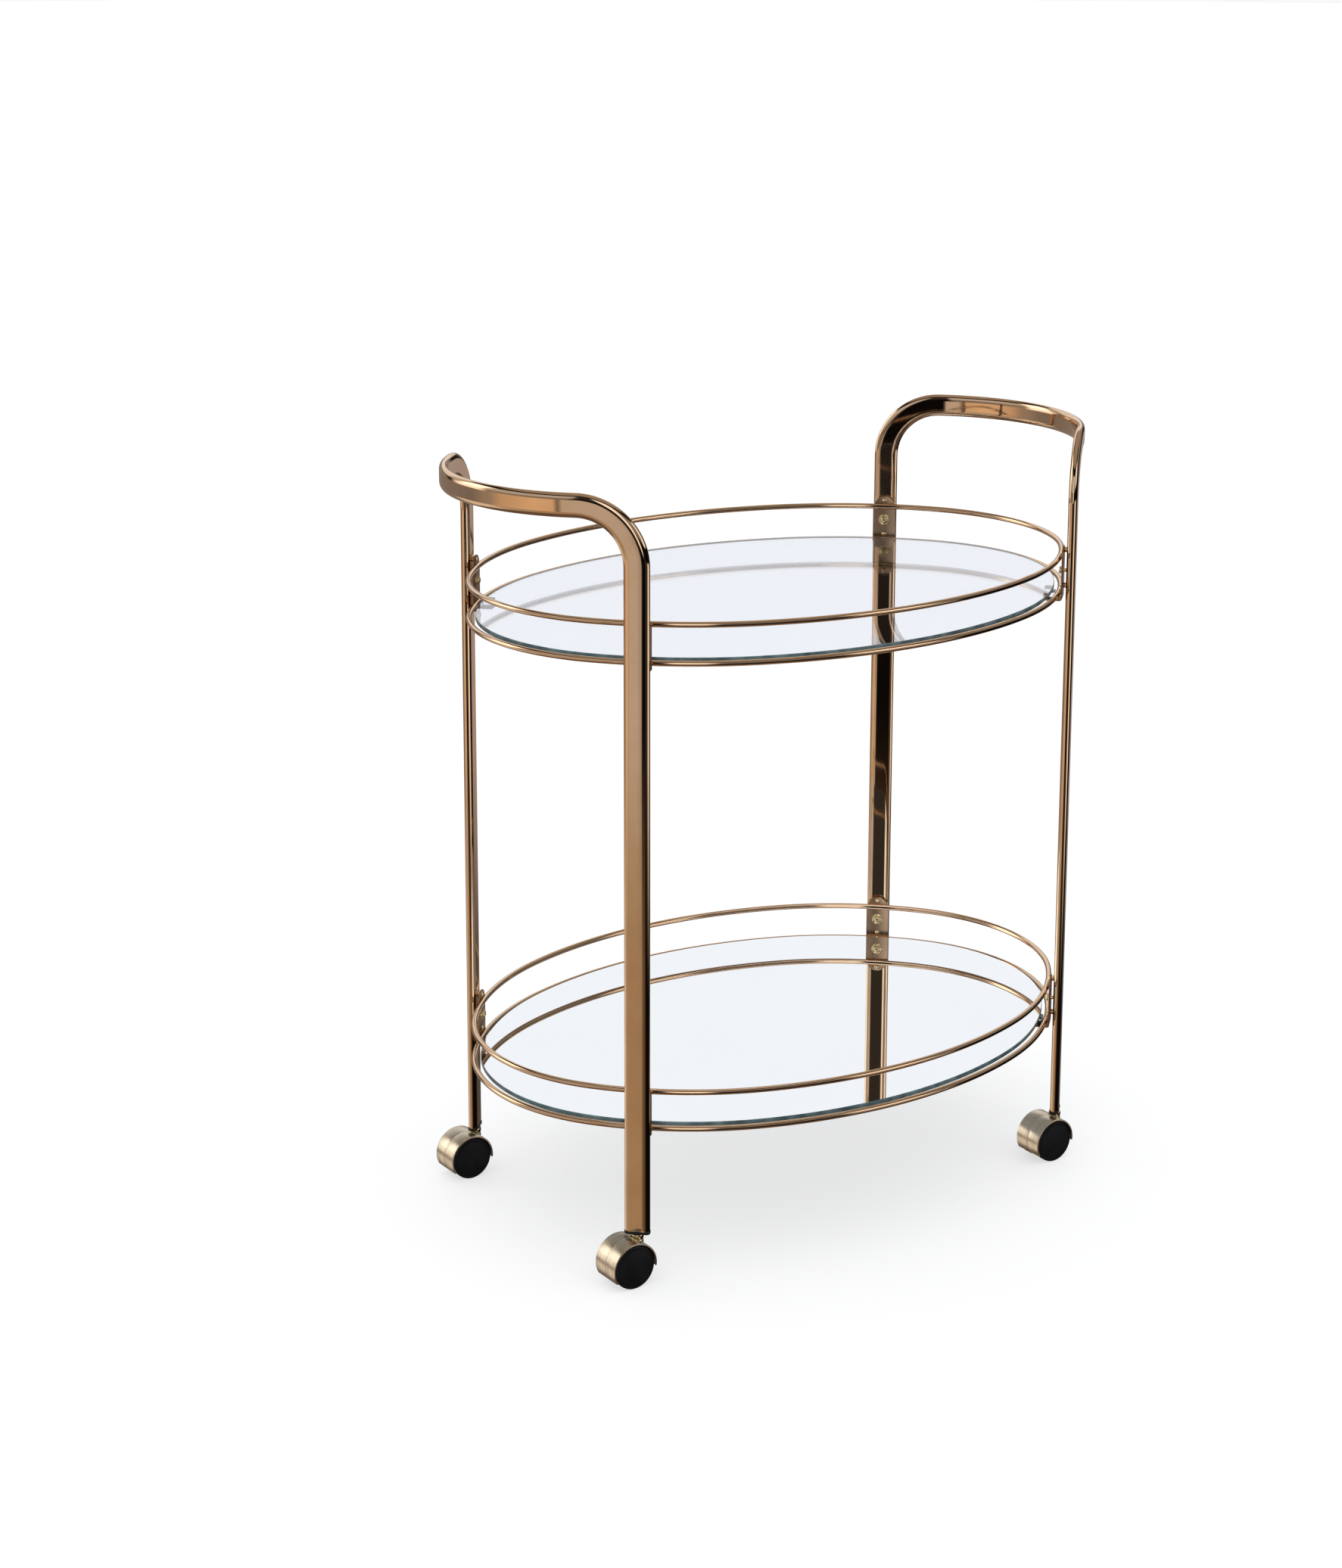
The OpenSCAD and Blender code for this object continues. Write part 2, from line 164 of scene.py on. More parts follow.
TOP = (  # above the walls
    (0, (0.42, 0.355, 0.285)), (50, (0.42, 0.355, 0.285)), (62, 0.22), (78, (0.19, 0.13, 0.10)),
    (100, 0.08), (115, 0.006), (205, 0.006), (332, 0.005), (345, 0.2), (360, (0.42, 0.355, 0.285)),
)  # fmt: skip
UNDERFOOT, ZENITH = (0.16, 0.112, 0.082), (0.38, 0.32, 0.26)
WARM_GREY = (1.0, 0.93, 0.88)  # tint of a stop that gives only a level
BACKDROP = (0.93, 0.935, 0.945)  # what the camera sees behind the cart
TENT = (0.85, 0.855, 0.865)  # what lights matt surfaces


def studio():
    """Surroundings: zones for reflections, an even tent for matt surfaces, a pale backdrop for the camera."""
    world = bpy.data.worlds.new("studio")
    scene.world = world
    world.use_nodes = True
    nt = world.node_tree
    nt.nodes.clear()
    tc = nt.nodes.new("ShaderNodeTexCoord")
    sep = nt.nodes.new("ShaderNodeSeparateXYZ")
    nt.links.new(tc.outputs["Generated"], sep.inputs[0])
    x, y, z = sep.outputs
    # azimuth as 0..1, from +x towards +y
    az = maths(nt, "FRACT", maths(nt, "DIVIDE", maths(nt, "ARCTAN2", y, x), 2 * math.pi))

    def zone(stops):
        colours = (v if isinstance(v, tuple) else tuple(v * w for w in WARM_GREY) for _, v in stops)
        return ramp(nt, az, [(a / 360.0, c) for (a, _), c in zip(stops, colours)])

    walls_low, walls_mid, walls_high = zone(WALLS_LOW), zone(WALLS_MID), zone(WALLS_HIGH)
    low_band, top = zone(LOW_BAND), zone(TOP)
    # each zone begins where z, the sine of the elevation, is the first value and is full at the second
    c = walls_low
    for begins, full, colour in (
        (-0.155, -0.11, walls_mid),
        (0.12, 0.17, walls_high),
        (-0.27, -0.36, low_band),
        (-0.60, -0.70, UNDERFOOT),
        (0.57, 0.62, top),
        (0.76, 0.81, ZENITH),
    ):
        c = mix(nt, soft_step(nt, z, begins, full), c, colour)

    mirrored, seen, tent = (nt.nodes.new("ShaderNodeBackground") for _ in range(3))
    nt.links.new(c, mirrored.inputs[0])
    seen.inputs[0].default_value = (*BACKDROP, 1)
    tent.inputs[0].default_value = (*TENT, 1)
    path = nt.nodes.new("ShaderNodeLightPath")
    bounced = maths(nt, "ADD", path.outputs["Glossy Depth"], path.outputs["Diffuse Depth"])
    unbounced = maths(nt, "LESS_THAN", bounced, 0.5)
    through = maths(nt, "MULTIPLY", path.outputs["Is Transmission Ray"], unbounced)
    indirect, join = (nt.nodes.new("ShaderNodeMixShader") for _ in range(2))
    nt.links.new(path.outputs["Is Diffuse Ray"], indirect.inputs[0])
    nt.links.new(mirrored.outputs[0], indirect.inputs[1])
    nt.links.new(tent.outputs[0], indirect.inputs[2])
    nt.links.new(maths(nt, "MAXIMUM", path.outputs["Is Camera Ray"], through), join.inputs[0])
    nt.links.new(indirect.outputs[0], join.inputs[1])
    nt.links.new(seen.outputs[0], join.inputs[2])
    out = nt.nodes.new("ShaderNodeOutputWorld")
    nt.links.new(join.outputs[0], out.inputs[0])


studio()


def sun(name, towards, strength, spread, colour):
    """A soft lamp that metal doesn't mirror."""
    light = bpy.data.lights.new(name, "SUN")
    light.energy = strength
    light.angle = math.radians(spread)
    light.color = colour
    o = bpy.data.objects.new(name, light)
    scene.collection.objects.link(o)
    o.rotation_euler = Vector(towards).to_track_quat("-Z", "Y").to_euler()
    o.visible_glossy = False


# broad soft light from above, and a weaker one from the left: direction, strength, degrees of spread, colour
sun("overhead_softbox", (0.10, 0.16, -1.0), 0.9, 75, (1.0, 0.995, 0.985))
sun("side_softbox", (0.75, 0.45, -0.75), 0.35, 60, (1.0, 0.985, 0.965))


FLOOR_COLOUR = (0.33, 0.332, 0.337)
GLOW_COLOUR, GLOW = (0.99, 0.995, 1.0), 0.64


def floor(sides=64, radius=30.0):
    """Pale disc that catches the cart's shadow."""
    mesh = bpy.data.meshes.new("floor")
    turns = [2 * math.pi * k / sides for k in range(sides)]
    rim = [(radius * math.cos(a), radius * math.sin(a), 0) for a in turns]
    mesh.from_pydata(rim, [], [tuple(range(sides))])
    o = bpy.data.objects.new("floor", mesh)
    scene.collection.objects.link(o)
    m = bpy.data.materials.new("floor_pale")
    m.use_nodes = True
    nt = m.node_tree
    b = nt.nodes["Principled BSDF"]
    b.inputs["Roughness"].default_value = 0.8
    b.inputs["Specular IOR Level"].default_value = 0.1
    b.inputs["Base Color"].default_value = (*FLOOR_COLOUR, 1)
    # light of its own keeps it as pale as the photograph's ground, with a faint shadow
    b.inputs["Emission Color"].default_value = (*GLOW_COLOUR, 1)
    b.inputs["Emission Strength"].default_value = GLOW
    # rays that the metal or the mirror sends down pass through it to the room's zones
    path = nt.nodes.new("ShaderNodeLightPath")
    open_ = nt.nodes.new("ShaderNodeBsdfTransparent")
    join = nt.nodes.new("ShaderNodeMixShader")
    nt.links.new(maths(nt, "GREATER_THAN", path.outputs["Glossy Depth"], 0.5), join.inputs[0])
    nt.links.new(b.outputs[0], join.inputs[1])
    nt.links.new(open_.outputs[0], join.inputs[2])
    nt.links.new(join.outputs[0], nt.nodes["Material Output"].inputs[0])
    mesh.materials.append(m)
    o.visible_glossy = False


floor()

# ---------------------------------------------------------------- materials
def material(name, colour, rough, metal=0.0):
    """A Principled material: the material, its node tree and its shader."""
    m = bpy.data.materials.new(name)
    m.use_nodes = True
    b = m.node_tree.nodes["Principled BSDF"]
    b.inputs["Base Color"].default_value = (*colour, 1)
    b.inputs["Roughness"].default_value = rough
    b.inputs["Metallic"].default_value = metal
    return m, m.node_tree, b


def coords(nt, scale=(1, 1, 1), kind="Object"):
    """Texture coordinates of the object or of its UVs, scaled per axis."""
    tc = nt.nodes.new("ShaderNodeTexCoord")
    mp = nt.nodes.new("ShaderNodeMapping")
    mp.inputs["Scale"].default_value = scale
    nt.links.new(tc.outputs[kind], mp.inputs[0])
    return mp.outputs[0]


def noise(nt, vector, scale, detail=3.0, rough=0.5):
    """Fine noise, 0..1."""
    n = nt.nodes.new("ShaderNodeTexNoise")
    n.inputs["Scale"].default_value = scale
    n.inputs["Detail"].default_value = detail
    n.inputs["Roughness"].default_value = rough
    nt.links.new(vector, n.inputs["Vector"])
    return n.outputs[0]


def between(nt, value, lo, hi, a=0.0, b=1.0):
    """Map lo..hi to a..b, clamped."""
    n = nt.nodes.new("ShaderNodeMapRange")
    nt.links.new(value, n.inputs["Value"])
    for name, v in (("From Min", lo), ("From Max", hi), ("To Min", a), ("To Max", b)):
        n.inputs[name].default_value = v
    return n.outputs["Result"]


def bump(nt, b, height, strength, distance):
    """Surface grain of the shader, from a height and a distance in metres."""
    n = nt.nodes.new("ShaderNodeBump")
    n.inputs["Strength"].default_value = strength
    n.inputs["Distance"].default_value = distance
    nt.links.new(height, n.inputs["Height"])
    nt.links.new(n.outputs[0], b.inputs["Normal"])


def plated(name, colour, deep, rough=(0.02, 0.06), uv=True):
    """Polished plating: faint drawing lines, along the tube where it has UVs, and patches of haze."""
    m, nt, b = material(name, colour, rough[0], 1.0)
    haze = noise(nt, coords(nt), 26.0, 4.0)
    if uv:
        lines = noise(nt, coords(nt, (6.0, 900.0, 1.0), "UV"), 1.0, 3.0)
    else:
        lines = noise(nt, coords(nt, (900.0, 900.0, 14.0)), 1.0, 3.0)
    amount = maths(nt, "ADD", maths(nt, "MULTIPLY", haze, 0.7), maths(nt, "MULTIPLY", lines, 0.3))
    nt.links.new(between(nt, amount, 0.32, 0.68, *rough), b.inputs["Roughness"])
    nt.links.new(mix(nt, between(nt, haze, 0.35, 0.7), colour, deep), b.inputs["Base Color"])
    bump(nt, b, lines, 0.05, 0.0001)
    b.inputs["Specular Tint"].default_value = (1.0, 0.93, 0.86, 1)
    return m


champagne = plated("champagne_plated_steel", (0.755, 0.55, 0.385), (0.70, 0.49, 0.325))
champagne_plate = plated(
    "champagne_plated_sheet", (0.44, 0.31, 0.21), (0.36, 0.25, 0.17), (0.26, 0.36), uv=False
)
stud_metal = plated(
    "champagne_turned_studs", (0.90, 0.74, 0.50), (0.84, 0.66, 0.42), (0.05, 0.11), uv=False
)
fitting_brass = plated("satin_turned_brass", (0.93, 0.79, 0.50), (0.87, 0.71, 0.42), (0.16, 0.26), uv=False)
brass = plated("bright_turned_brass", (0.90, 0.76, 0.47), (0.84, 0.68, 0.39), (0.05, 0.13), uv=False)


def brushed():
    """Brushed hood: fine lines that run round the shell, so they change quickly along the axle."""
    m, nt, b = material("brushed_pale_brass", (0.76, 0.68, 0.52), 0.3, 1.0)
    fine = noise(nt, coords(nt, (10.0, 5200.0, 10.0)), 1.0, 4.0, 0.65)
    broad = noise(nt, coords(nt, (22.0, 900.0, 22.0)), 1.0, 3.0)
    amount = maths(nt, "ADD", maths(nt, "MULTIPLY", fine, 0.65), maths(nt, "MULTIPLY", broad, 0.35))
    shade = between(nt, amount, 0.38, 0.64)
    nt.links.new(mix(nt, shade, (0.86, 0.765, 0.62), (0.62, 0.53, 0.41)), b.inputs["Base Color"])
    nt.links.new(between(nt, amount, 0.38, 0.64, 0.24, 0.38), b.inputs["Roughness"])
    bump(nt, b, amount, 0.35, 0.00012)
    b.inputs["Anisotropic"].default_value = 0.7
    b.inputs["Anisotropic Rotation"].default_value = 0.25
    along = nt.nodes.new("ShaderNodeTangent")
    along.direction_type = "UV_MAP"
    nt.links.new(along.outputs[0], b.inputs["Tangent"])
    return m


brushed_hood = brushed()


def black_plastic(name, colour, rough, grain):
    """Moulded plastic with a fine grain and hazy patches."""
    m, nt, b = material(name, colour, rough[0])
    fine = noise(nt, coords(nt), grain, 3.0)
    haze = noise(nt, coords(nt), 60.0, 3.0)
    amount = maths(nt, "ADD", maths(nt, "MULTIPLY", fine, 0.4), maths(nt, "MULTIPLY", haze, 0.6))
    nt.links.new(between(nt, amount, 0.35, 0.65, *rough), b.inputs["Roughness"])
    paler = tuple(c * 1.7 for c in colour)
    nt.links.new(mix(nt, between(nt, haze, 0.4, 0.7), colour, paler), b.inputs["Base Color"])
    bump(nt, b, fine, 0.12, 0.0001)
    b.inputs["Specular IOR Level"].default_value = 0.18
    return m


wheel_plastic = black_plastic("moulded_black_wheel", (0.0035, 0.0038, 0.005), (0.34, 0.5), 1800.0)
cap_plastic = black_plastic("moulded_black_plug", (0.01, 0.009, 0.009), (0.28, 0.4), 1500.0)
core_plastic = black_plastic("moulded_black_core", (0.012, 0.011, 0.011), (0.4, 0.55), 1500.0)


def speckle(nt, b, scale, lo, hi, rough, detail=3.0):
    """Vary the roughness with a noise, which is returned."""
    n = noise(nt, coords(nt), scale, detail)
    nt.links.new(between(nt, n, lo, hi, *rough), b.inputs["Roughness"])
    return n


def clear(name, colour, ior, rough=0.0):
    """Clear sheet or rubber that lets lamps through, faintly tinted."""
    m, nt, b = material(name, colour, rough)
    b.inputs["Transmission Weight"].default_value = 1.0
    b.inputs["IOR"].default_value = ior
    out = nt.nodes["Material Output"]
    path = nt.nodes.new("ShaderNodeLightPath")
    thin = nt.nodes.new("ShaderNodeBsdfTransparent")
    thin.inputs[0].default_value = (0.93, 0.95, 0.96, 1)
    join = nt.nodes.new("ShaderNodeMixShader")
    nt.links.new(path.outputs["Is Shadow Ray"], join.inputs[0])
    nt.links.new(b.outputs[0], join.inputs[1])
    nt.links.new(thin.outputs[0], join.inputs[2])
    nt.links.new(join.outputs[0], out.inputs[0])
    return m, nt, b


steel, nt_, b_ = material("plain_steel_axle", (0.6, 0.6, 0.6), 0.3, 1.0)
speckle(nt_, b_, 300.0, 0.3, 0.7, (0.22, 0.4))
glass, _, _ = clear("clear_float_glass", (0.84, 0.863, 0.91), 1.5)
glass_edge, nt_, b_ = material("polished_glass_edge", (0.09, 0.14, 0.15), 0.12)
streak = speckle(nt_, b_, 60.0, 0.3, 0.7, (0.06, 0.2), detail=4.0)
streak = between(nt_, streak, 0.35, 0.7)
nt_.links.new(mix(nt_, streak, (0.05, 0.085, 0.095), (0.15, 0.22, 0.235)), b_.inputs["Base Color"])
silicone, nt_, b_ = clear("clear_silicone_pads", (0.90, 0.92, 0.95), 1.41, 0.16)
speckle(nt_, b_, 400.0, 0.3, 0.7, (0.08, 0.28))

mirror, nt_, b_ = material("silvered_mirror", (0.93, 0.945, 0.955), 0.012, 1.0)
haze_ = speckle(nt_, b_, 9.0, 0.35, 0.75, (0.008, 0.028), detail=4.0)
nt_.links.new(mix(nt_, haze_, (0.935, 0.95, 0.96), (0.915, 0.935, 0.95)), b_.inputs["Base Color"])
backing, nt_, b_ = material("painted_mirror_back", (0.30, 0.31, 0.32), 0.6)
grain_ = noise(nt_, coords(nt_), 700.0)
nt_.links.new(mix(nt_, grain_, (0.26, 0.27, 0.28), (0.36, 0.37, 0.38)), b_.inputs["Base Color"])
bump(nt_, b_, grain_, 0.2, 0.0001)


# ---------------------------------------------------------------- mesh helpers
class Shell:
    """Gathers grids of vertices with their own UVs, then makes one object."""

    def __init__(self):
        self.v, self.f, self.uv, self.m = [], [], [], []

    def grid(self, rows, su=None, sv=None, wrap_rows=False, wrap_cols=False, mat=0):
        """rows: lists of points of one length. su and sv: UV from row to row and along a row, in metres."""
        n, m, base = len(rows), len(rows[0]), len(self.v)
        if su is None:
            su = [0.0]
            for i in range(n if wrap_rows else n - 1):
                su.append(su[-1] + (Vector(rows[(i + 1) % n][0]) - Vector(rows[i][0])).length)
        if sv is None:
            sv = [0.0]
            for j in range(m if wrap_cols else m - 1):
                sv.append(sv[-1] + (Vector(rows[0][(j + 1) % m]) - Vector(rows[0][j])).length)
        for row in rows:
            self.v += [tuple(p) for p in row]
        for i in range(n if wrap_rows else n - 1):
            i2 = (i + 1) % n
            for j in range(m if wrap_cols else m - 1):
                j2 = (j + 1) % m
                self.f.append((base + i * m + j, base + i * m + j2, base + i2 * m + j2, base + i2 * m + j))
                (u0, u1), (v0, v1) = su[i : i + 2], sv[j : j + 2]
                self.uv.append([(u0, v0), (u0, v1), (u1, v1), (u1, v0)])
                self.m.append(mat)
        return base

    def tube(self, rows):
        """A grid closed round each row, with a flat cap on its first and its last row."""
        first, count = self.grid(rows, wrap_cols=True), len(rows[0])
        self.cap(first, count)
        self.cap(first + (len(rows) - 1) * count, count)

    def cap(self, first, count, mat=0):
        """One flat face over count vertices from first on."""
        ids = tuple(range(first, first + count))
        self.f.append(ids)
        self.uv.append([(self.v[i][0], self.v[i][1]) for i in ids])
        self.m.append(mat)

    def make(self, name, mats, sharp=40.0, weld=1e-6):
        """The object, with its seams welded and edges over sharp degrees kept hard."""
        mesh = bpy.data.meshes.new(name)
        mesh.from_pydata(self.v, [], self.f)
        layer = mesh.uv_layers.new(name="UVMap")
        k = 0
        for poly, uvs, mi in zip(mesh.polygons, self.uv, self.m):
            poly.material_index = mi
            for uv in uvs:
                layer.data[k].uv = uv
                k += 1
        bm = bmesh.new()
        bm.from_mesh(mesh)
        bmesh.ops.remove_doubles(bm, verts=bm.verts, dist=weld)
        bmesh.ops.recalc_face_normals(bm, faces=bm.faces)
        bm.to_mesh(mesh)
        bm.free()
        for poly in mesh.polygons:
            poly.use_smooth = True
        mesh.set_sharp_from_angle(angle=math.radians(sharp))
        for mt in mats:
            mesh.materials.append(mt)
        o = bpy.data.objects.new(name, mesh)
        scene.collection.objects.link(o)
        return o


def rounded(points, closed=True, n=4):
    """points are (x, y, corner radius): the outline with its corners rounded."""
    out, k = [], len(points)
    for i, (x, y, r) in enumerate(points):
        if r <= 0 or (not closed and i in (0, k - 1)):
            out.append((x, y))
            continue
        p = Vector((x, y))
        a = Vector(points[i - 1][:2]) - p
        b = Vector(points[(i + 1) % k][:2]) - p
        a.normalize()
        b.normalize()
        half = a.angle(b) / 2
        c = p + (a + b).normalized() * (r / math.sin(half))
        s, e = p + a * (r / math.tan(half)), p + b * (r / math.tan(half))
        a0 = math.atan2(s.y - c.y, s.x - c.x)
        da = (math.atan2(e.y - c.y, e.x - c.x) - a0 + math.pi) % (2 * math.pi) - math.pi
        for t in range(n + 1):
            out.append((c.x + r * math.cos(a0 + da * t / n), c.y + r * math.sin(a0 + da * t / n)))
    return out


def lathe(shell, profile, place, segs=48, mat=0, close=False, radial=None):
    """profile is (radius, height) in mm, place takes a point of the lathe's own frame to the scene."""
    rows = []
    for k, (r, h) in enumerate(profile):
        row = []
        for j in range(segs):
            a = 2 * math.pi * j / segs
            rr = r * (radial(k, a) if radial else 1.0)
            row.append(place @ Vector((rr * math.cos(a), rr * math.sin(a), h)))
        rows.append(row)
    scale = max(r for r, _ in profile) * MM
    su = [0.0]
    for k in range(len(profile) if close else len(profile) - 1):
        (r0, h0), (r1, h1) = profile[k], profile[(k + 1) % len(profile)]
        su.append(su[-1] + math.hypot(r1 - r0, h1 - h0) * MM)
    sv = [2 * math.pi * scale * j / segs for j in range(segs + 1)]
    shell.grid(rows, su, sv, wrap_rows=close, wrap_cols=True, mat=mat)


def put(o, body, slot, *replaced):
    """Tie a piece to its body and hide the CAD nodes that it stands for. The slot argument is not used."""
    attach(o, body)
    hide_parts(*replaced)


def mm(matrix):
    """The same frame for points in mm."""
    return Matrix.Scale(MM, 4) @ matrix


# ---------------------------------------------------------------- the oval and the legs
# arcs of the rod's centre line, in mm: radii at the ends, the shoulders and the long sides, the angles
# where they meet in the first quarter, and their centres
R1, R2, R3 = 195.0, 325.0, 480.0
ANG1, ANG2 = math.atan2(0.6, 0.8), math.atan2(0.936, 0.352)
C1X = (R2 - R1) * 0.8 + (R3 - R2) * 0.352
C2X, C2Y = (R3 - R2) * 0.352, -(R2 - R1) * 0.6
C3Y = C2Y - (R3 - R2) * 0.936

LEG_ANGLE = math.radians(46.3)  # of the leg's outward side, from x
LEG_OFFSET = 12.6  # from the rod's centre to the tube's
LEG_END = 56.0  # height of the tube's open end
LIP_Z = LEG_END - 3.2  # underside of the plug's lip
HANDLE_Z, BEND, STRAIGHT = 828.0, 62.0, 0.5  # handle's middle, radius of the bend, and the run after it
LEG_X = C2X + (R2 + LEG_OFFSET) * math.cos(LEG_ANGLE)
LEG_Y = C2Y + (R2 + LEG_OFFSET) * math.sin(LEG_ANGLE)
# radius of the bowed handle, which meets its mirror image at y 0
BOW_R = math.floor(100 * (LEG_Y / math.sin(LEG_ANGLE) - (BEND + STRAIGHT) / math.tan(LEG_ANGLE))) / 100
RING_Z = [1000 * sum(c.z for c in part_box(n)) / 2 for n in ("shelf_ring_bottom", "shelf_ring_top")]
RAIL_Z = [1000 * sum(c.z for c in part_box(n)) / 2 for n in ("gallery_rail_bottom", "gallery_rail_top")]
TIERS = tuple(zip(("bottom", "top"), RING_Z))
SIGNS = ((-1, -1), (-1, 1), (1, 1), (1, -1))  # of x and y, in the order of POSITIONS


def leg_frame(k):
    """Frame of leg k in mm: origin on the rod's centre at z 0, x outwards, y along the rod."""
    sx, sy = SIGNS[k]
    n = Vector((sx * math.cos(LEG_ANGLE), sy * math.sin(LEG_ANGLE), 0))
    t = Vector((-n.y, n.x, 0))
    p = Vector((sx * (C2X + R2 * math.cos(LEG_ANGLE)), sy * (C2Y + R2 * math.sin(LEG_ANGLE)), 0))
    return Matrix(((n.x, t.x, 0, p.x), (n.y, t.y, 0, p.y), (0, 0, 1, 0), (0, 0, 0, 1)))


def caster_frame(k):
    """Frame in mm on the floor under leg k, along the scene's axes."""
    sx, sy = SIGNS[k]
    return Matrix.Translation((sx * LEG_X, sy * LEG_Y, 0))


def oval(inset=0.0, step=5.0):
    """Points round the oval with their outward normals, in mm."""
    out = []
    for cx, cy, r, a0, a1 in (
        (C1X, 0, R1, -ANG1, ANG1),
        (C2X, C2Y, R2, ANG1, ANG2),
        (0, C3Y, R3, ANG2, math.pi - ANG2),
        (-C2X, C2Y, R2, math.pi - ANG2, math.pi - ANG1),
        (-C1X, 0, R1, math.pi - ANG1, math.pi + ANG1),
        (-C2X, -C2Y, R2, math.pi + ANG1, math.pi + ANG2),
        (0, -C3Y, R3, math.pi + ANG2, 2 * math.pi - ANG2),
        (C2X, -C2Y, R2, 2 * math.pi - ANG2, 2 * math.pi - ANG1),
    ):
        n = max(8, round(r * (a1 - a0) / step))
        for i in range(n):
            a = a0 + (a1 - a0) * i / n
            nx, ny = math.cos(a), math.sin(a)
            out.append((cx + (r - inset) * nx, cy + (r - inset) * ny, nx, ny))
    return out


def around(profile, z, inset=0.0):
    """Rows of points: the profile, (outwards, up) in mm, at each point of the oval."""
    return [
        [((x + nx * u) * MM, (y + ny * u) * MM, (z + h) * MM) for u, h in profile]
        for x, y, nx, ny in oval(inset)
    ]


# ---------------------------------------------------------------- rods
ROD_R, ROD_SIDES = 3.1, 24


def rod(name, z, node):
    """Round rod along the whole oval."""
    turns = [2 * math.pi * k / ROD_SIDES for k in range(ROD_SIDES)]
    profile = [(ROD_R * math.cos(a), ROD_R * math.sin(a)) for a in turns]
    s = Shell()
    s.grid(around(profile, z), wrap_rows=True, wrap_cols=True)
    put(s.make(name, [champagne]), "cart", "champagne_plate", node)


for tier_, ring_z, rail_z in zip(("bottom", "top"), RING_Z, RAIL_Z):
    rod(f"ring_rod_{tier_}", ring_z, f"shelf_ring_{tier_}")
    rod(f"rail_rod_{tier_}", rail_z, f"gallery_rail_{tier_}")


# ---------------------------------------------------------------- glass shelf and mirror shelf
SHEET_T, SHEET_TOP, SHEET_INSET, CHAMFER = 5.0, 4.6, 6.8, 0.6  # top over the rod's centre, edge inside it


def sheet(name, z, face, edge, under, slot, node):
    """Oval sheet with ground and softened edges."""
    edge_line = [(-CHAMFER, 0, 0), (0, CHAMFER, 0.4), (0, SHEET_T - CHAMFER, 0.4), (-CHAMFER, SHEET_T, 0)]
    profile = rounded(edge_line, closed=False, n=3)
    rows = around(profile, z + SHEET_TOP - SHEET_T, inset=SHEET_INSET)
    loops = [list(c) for c in zip(*rows)]
    s = Shell()
    base = s.grid(loops, wrap_cols=True, mat=1)
    n = len(rows)
    for where, mat in ((0, 2), (len(loops) - 1, 0)):
        s.cap(base + where * n, n, mat)
    put(s.make(name, [face, edge, under], sharp=20), "cart", slot, node)


sheet("glass_sheet_top", RING_Z[1], glass, glass_edge, glass, "clear_glass", "shelf_glass_top")
sheet("mirror_sheet_bottom", RING_Z[0], mirror, glass_edge, backing, "mirror_sheet", "shelf_mirror_bottom")


# ---------------------------------------------------------------- end frames
TUBE_W, TUBE_T = 27.0, 10.0
CORNER, CROWN = (6.4, 4.6), 0.12  # the corners' half width and depth, and the crown of the broad faces
BORE = (24.6, 7.6, 4.6, 3.2)  # width, thickness and corners of the tube's inside
BORE_DEPTHS = (0.0, 6.0, 26.0)
HANDLE_NARROWING = 1.7
LEG_STEPS, BEND_STEPS, BOW_STEPS = 40, 28, 36


def tube_outline(w, t, a, b, crown=0.0, n=9):
    """Flat-oval tube: elliptical corners a wide and b deep, and broad faces slightly crowned."""
    out = []
    for sx, sy in ((1, -1), (1, 1), (-1, 1), (-1, -1)):
        for i in range(n + 1):
            q = math.pi / 2 * i / n
            u, v = (math.sin(q), math.cos(q)) if sx * sy < 0 else (math.cos(q), math.sin(q))
            out.append((sx * (w / 2 - a + a * u), sy * (t / 2 - b + b * v)))
        if sx == sy:
            x0 = w / 2 - a
            out += [(sx * x0 * (1 - 2 * j / 8), sy * t / 2) for j in range(1, 8)]
    return [(x, y - math.copysign(crown * (2 * x / w) ** 2, y)) for x, y in out]


def half_path(frame_matrix):
    """The tube's middle line, leg end to handle middle: point, width and thickness directions, handle share."""
    out = []
    r3 = frame_matrix.to_3x3()
    z_end = HANDLE_Z - BEND

    def add(p, w, n, share):
        directions = ((r3 @ Vector(v)).normalized() for v in (w, n))
        out.append((frame_matrix @ Vector(p), *directions, share))

    for i in range(LEG_STEPS):
        add((LEG_OFFSET, 0, LEG_END + (z_end - LEG_END) * i / LEG_STEPS), (0, 1, 0), (1, 0, 0), 0.0)
    for i in range(BEND_STEPS + 1):
        a = math.pi / 2 * i / BEND_STEPS
        p = (LEG_OFFSET, BEND * math.cos(a) - BEND, z_end + BEND * math.sin(a))
        add(p, (0, math.cos(a), math.sin(a)), (1, 0, 0), a / (math.pi / 2))
    for i in range(1, BOW_STEPS + 1):
        b = LEG_ANGLE * i / BOW_STEPS
        p = (LEG_OFFSET - BOW_R + BOW_R * math.cos(b), -(BEND + STRAIGHT + BOW_R * math.sin(b)), HANDLE_Z)
        add(p, (0, 0, 1), (math.cos(b), -math.sin(b), 0), 1.0)
    return out


def flipped(path, axis):
    """The path's mirror image across the plane where the axis is 0."""
    scale = Vector([-1 if i == axis else 1 for i in range(3)])
    return [(*(scale * v for v in vectors), share) for *vectors, share in path]


